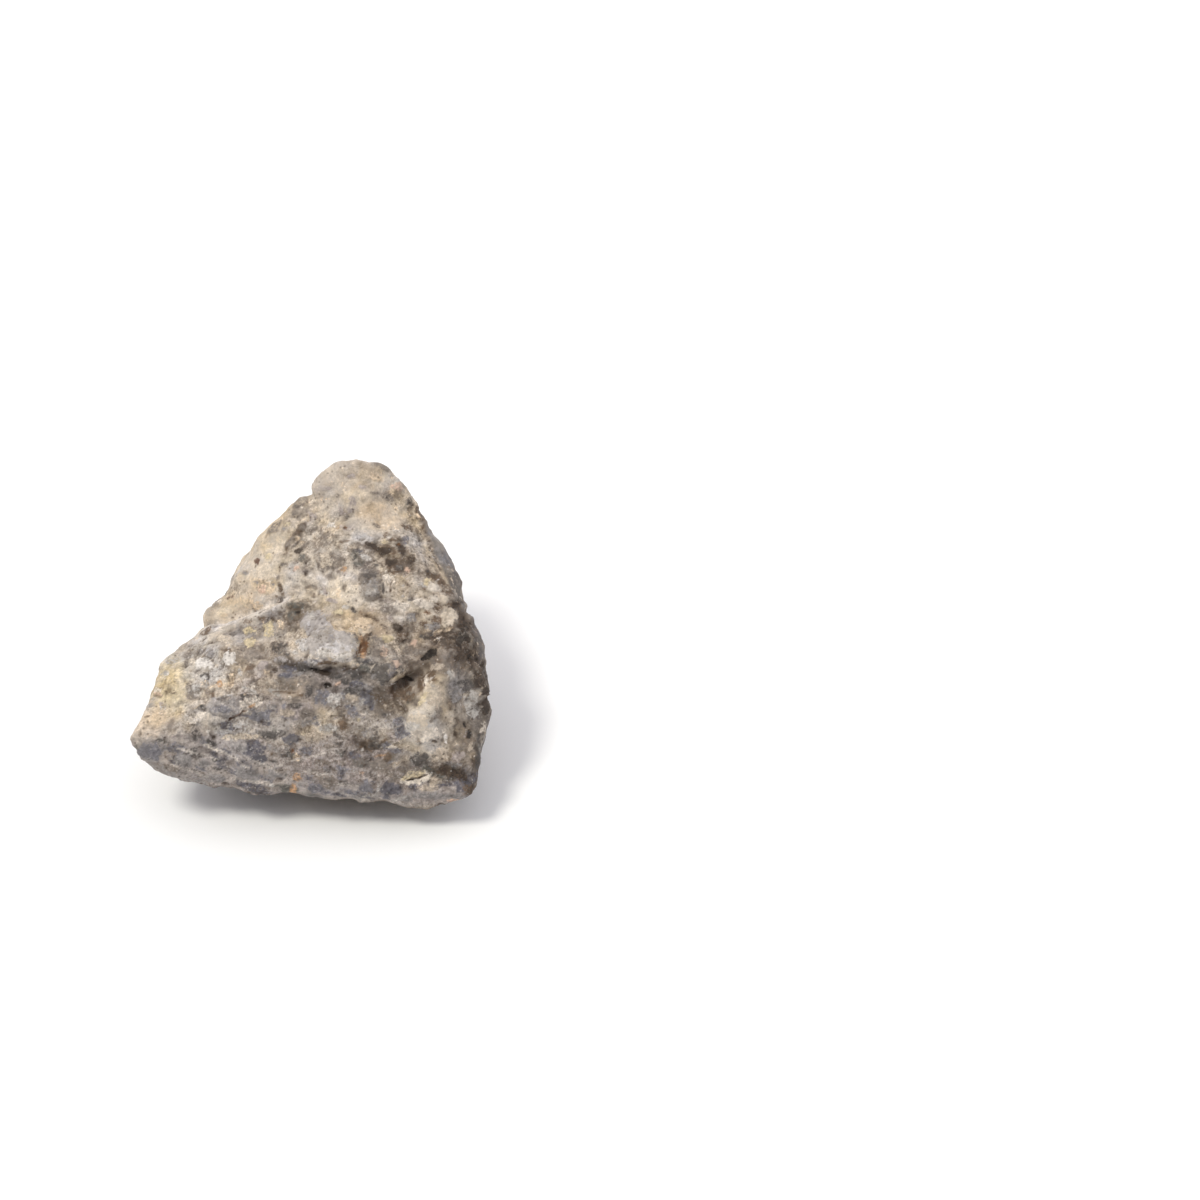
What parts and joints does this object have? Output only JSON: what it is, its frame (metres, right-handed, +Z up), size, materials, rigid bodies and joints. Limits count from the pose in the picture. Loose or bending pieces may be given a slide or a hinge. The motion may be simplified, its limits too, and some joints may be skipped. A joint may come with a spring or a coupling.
{
  "type": "lunar meteorite",
  "caption": "Small wedge of weathered lunar breccia with a rounded peak, a stepped ledge, a steep dark face and a flat resting spot.",
  "frame": {"origin": "centre of the bounding box at the height of the flat resting spot", "axes": "+X to the right along the widest extent, +Y to the back where the peak is, +Z up, with -Y the steep dark front"},
  "size_m": [0.0084, 0.0076, 0.006],
  "materials": {
    "stone": "matt weathered breccia, tan and grey with dark and pale clasts"
  },
  "bodies": {
    "root": {"meteorite": "stone"}
  },
  "joints": []
}
